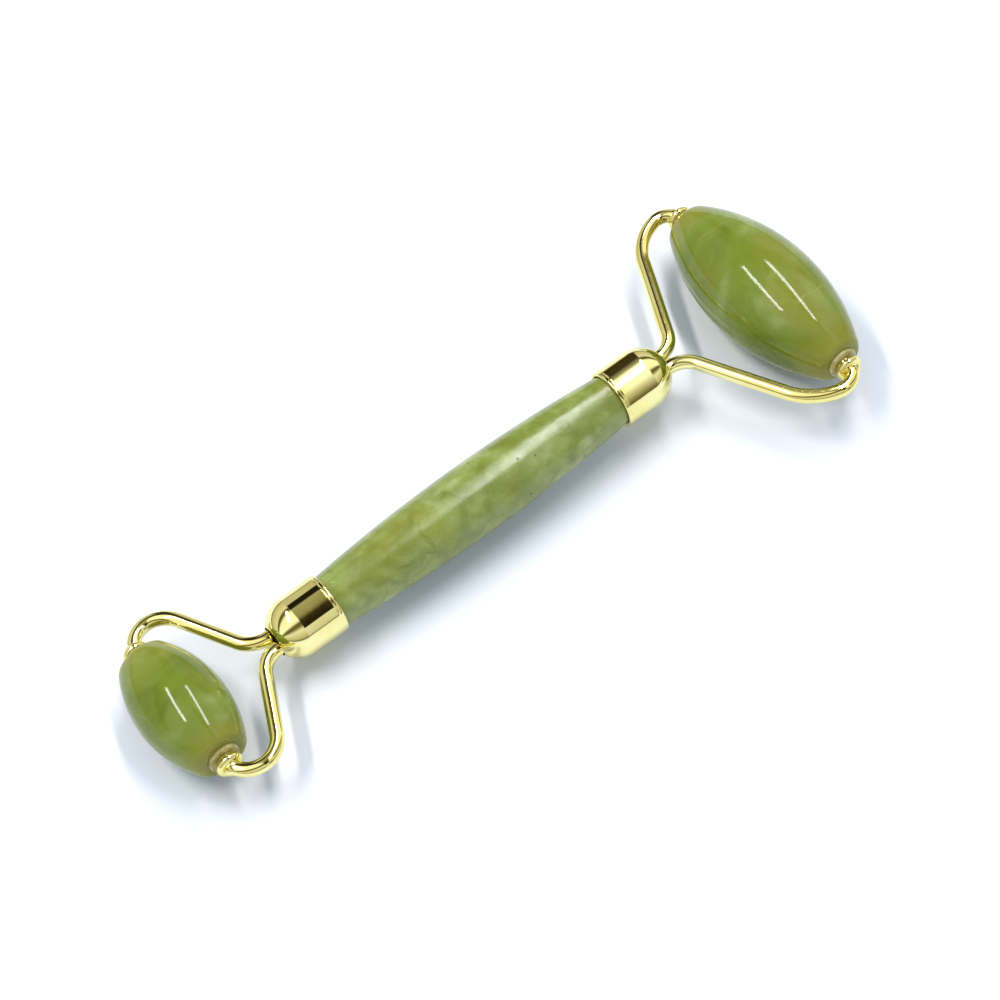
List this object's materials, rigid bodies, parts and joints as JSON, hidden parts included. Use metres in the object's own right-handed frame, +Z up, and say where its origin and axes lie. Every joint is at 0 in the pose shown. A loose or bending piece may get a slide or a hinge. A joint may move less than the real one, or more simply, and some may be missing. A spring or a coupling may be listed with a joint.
{
  "type": "face roller",
  "caption": "Double-ended massage roller: barrel-shaped stone grip, two bent-wire yokes, and a large and a small stone roller that spin freely.",
  "frame": {"origin": "middle of the object's outline seen from above, on the surface that its two rollers rest on", "axes": "+X runs along the handle towards the large roller, the roller axles run along Y, +Z is up from the surface"},
  "size_m": [0.1444, 0.0538, 0.02],
  "materials": {
    "grip_stone": "polished",
    "roller_stone": "polished",
    "gold_plate": "polished",
    "clear_plastic": "gloss",
    "cement": "matte"
  },
  "bodies": {
    "handle": {"grip_stone": "grip_stone", "large_ferrule": "gold_plate", "small_ferrule": "gold_plate", "large_ferrule_cement": "cement", "small_ferrule_cement": "cement", "large_yoke": "gold_plate", "small_yoke": "gold_plate", "large_left_pin": "gold_plate", "large_right_pin": "gold_plate", "small_left_pin": "gold_plate", "small_right_pin": "gold_plate"},
    "large_roller": {"large_roller_stone": "roller_stone", "large_left_sleeve": "clear_plastic", "large_right_sleeve": "clear_plastic"},
    "small_roller": {"small_roller_stone": "roller_stone", "small_left_sleeve": "clear_plastic", "small_right_sleeve": "clear_plastic"}
  },
  "joints": [
    {"name": "large_roller_spin", "type": "hinge", "parent": "handle", "child": "large_roller", "pos_m": [0.06221, 0, 0.01], "axis": [0, 1, 0], "continuous": true},
    {"name": "small_roller_spin", "type": "hinge", "parent": "handle", "child": "small_roller", "pos_m": [-0.06421, 0, 0.008], "axis": [0, 1, 0], "continuous": true}
  ]
}
